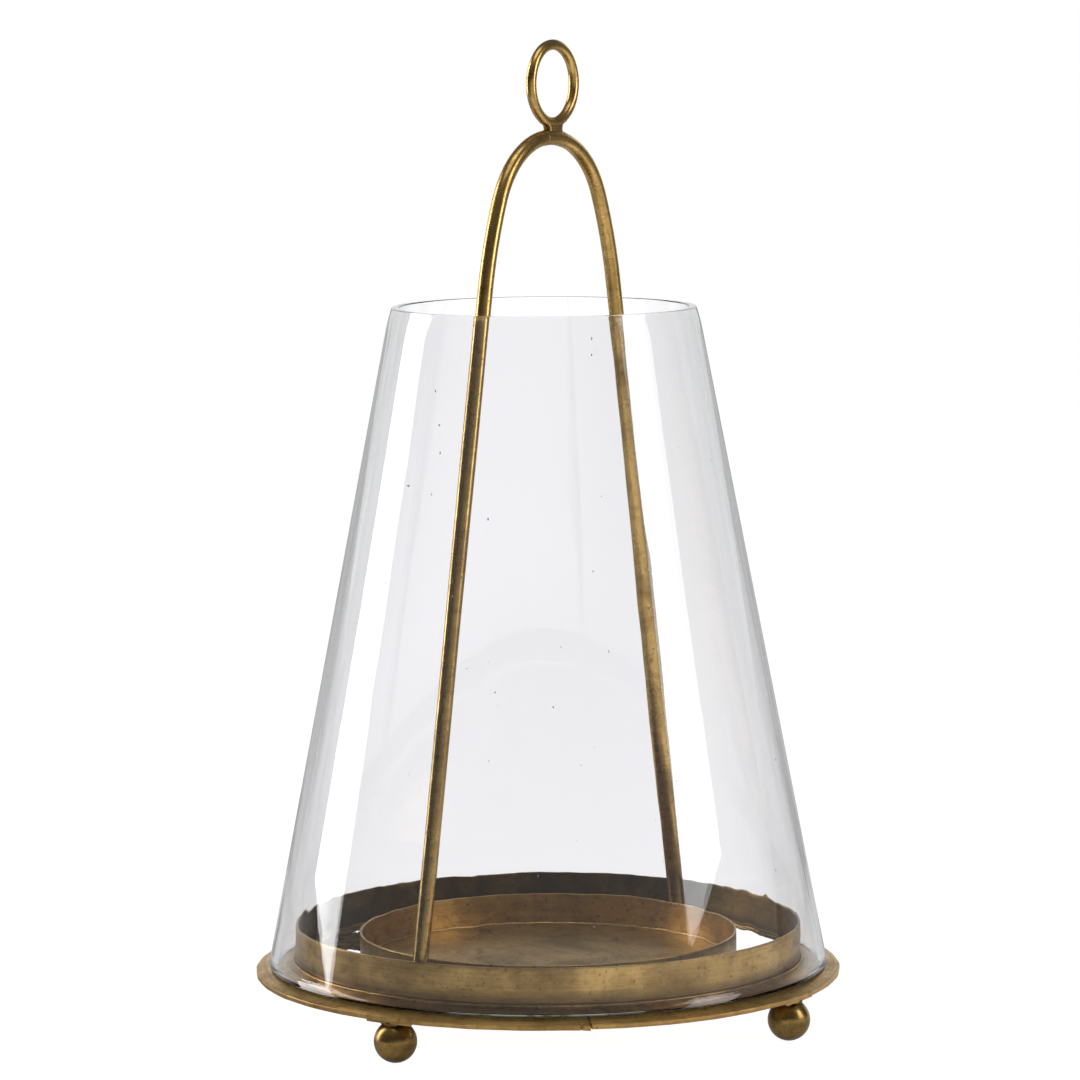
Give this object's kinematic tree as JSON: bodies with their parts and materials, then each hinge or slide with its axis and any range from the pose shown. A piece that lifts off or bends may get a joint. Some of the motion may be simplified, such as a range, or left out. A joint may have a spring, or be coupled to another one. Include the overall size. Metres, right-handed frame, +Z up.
{
  "type": "hurricane lantern",
  "caption": "Open-ended conical glass chimney standing on a round antique-brass tray with ball feet, a candle pan and a bent-rod handle with a carrying ring.",
  "frame": {"origin": "on the table under the middle of the tray, at the level of the balls' lowest points", "axes": "+Z up; the handle and the ring are parallel to the XZ plane, 4.1 mm from it towards -Y; the feet are 1.5 degrees from the X and Y axes"},
  "size_m": [0.3182, 0.3182, 0.5197],
  "materials": {
    "clear_glass": "clear, slightly wavy",
    "brass_sheet": "antique patina, brushed, satin",
    "brass_rod": "antique patina, satin",
    "brass_ball": "antique patina, polished high spots",
    "solder": "dull, cast surface"
  },
  "bodies": {
    "tray": {"ball_foot_back": "brass_ball", "ball_foot_front": "brass_ball", "ball_foot_left": "brass_ball", "ball_foot_right": "brass_ball", "ball_solder_back": "solder", "ball_solder_front": "solder", "ball_solder_left": "solder", "ball_solder_right": "solder", "brim": "brass_sheet", "brim_seam_solder": "solder", "collar_band": "brass_sheet", "collar_solder": "solder", "handle_foot_solder_left": "solder", "handle_foot_solder_right": "solder", "handle_rod": "brass_rod", "hanging_ring": "brass_rod", "pan_floor": "brass_sheet", "pan_solder": "solder", "pan_tack_back": "solder", "pan_tack_front": "solder", "pan_tack_left": "solder", "pan_tack_right": "solder", "pan_wall": "brass_sheet", "ring_saddle": "brass_sheet", "strap_long": "brass_sheet", "strap_short_back": "brass_sheet", "strap_short_front": "brass_sheet", "strap_solder_back": "solder", "strap_solder_front": "solder"},
    "glass": {"glass_chimney": "clear_glass"}
  },
  "joints": [
    {"name": "glass_lift", "type": "slide", "parent": "tray", "child": "glass", "axis": [0, 0, 1], "range_m": [0, 0.5]}
  ]
}
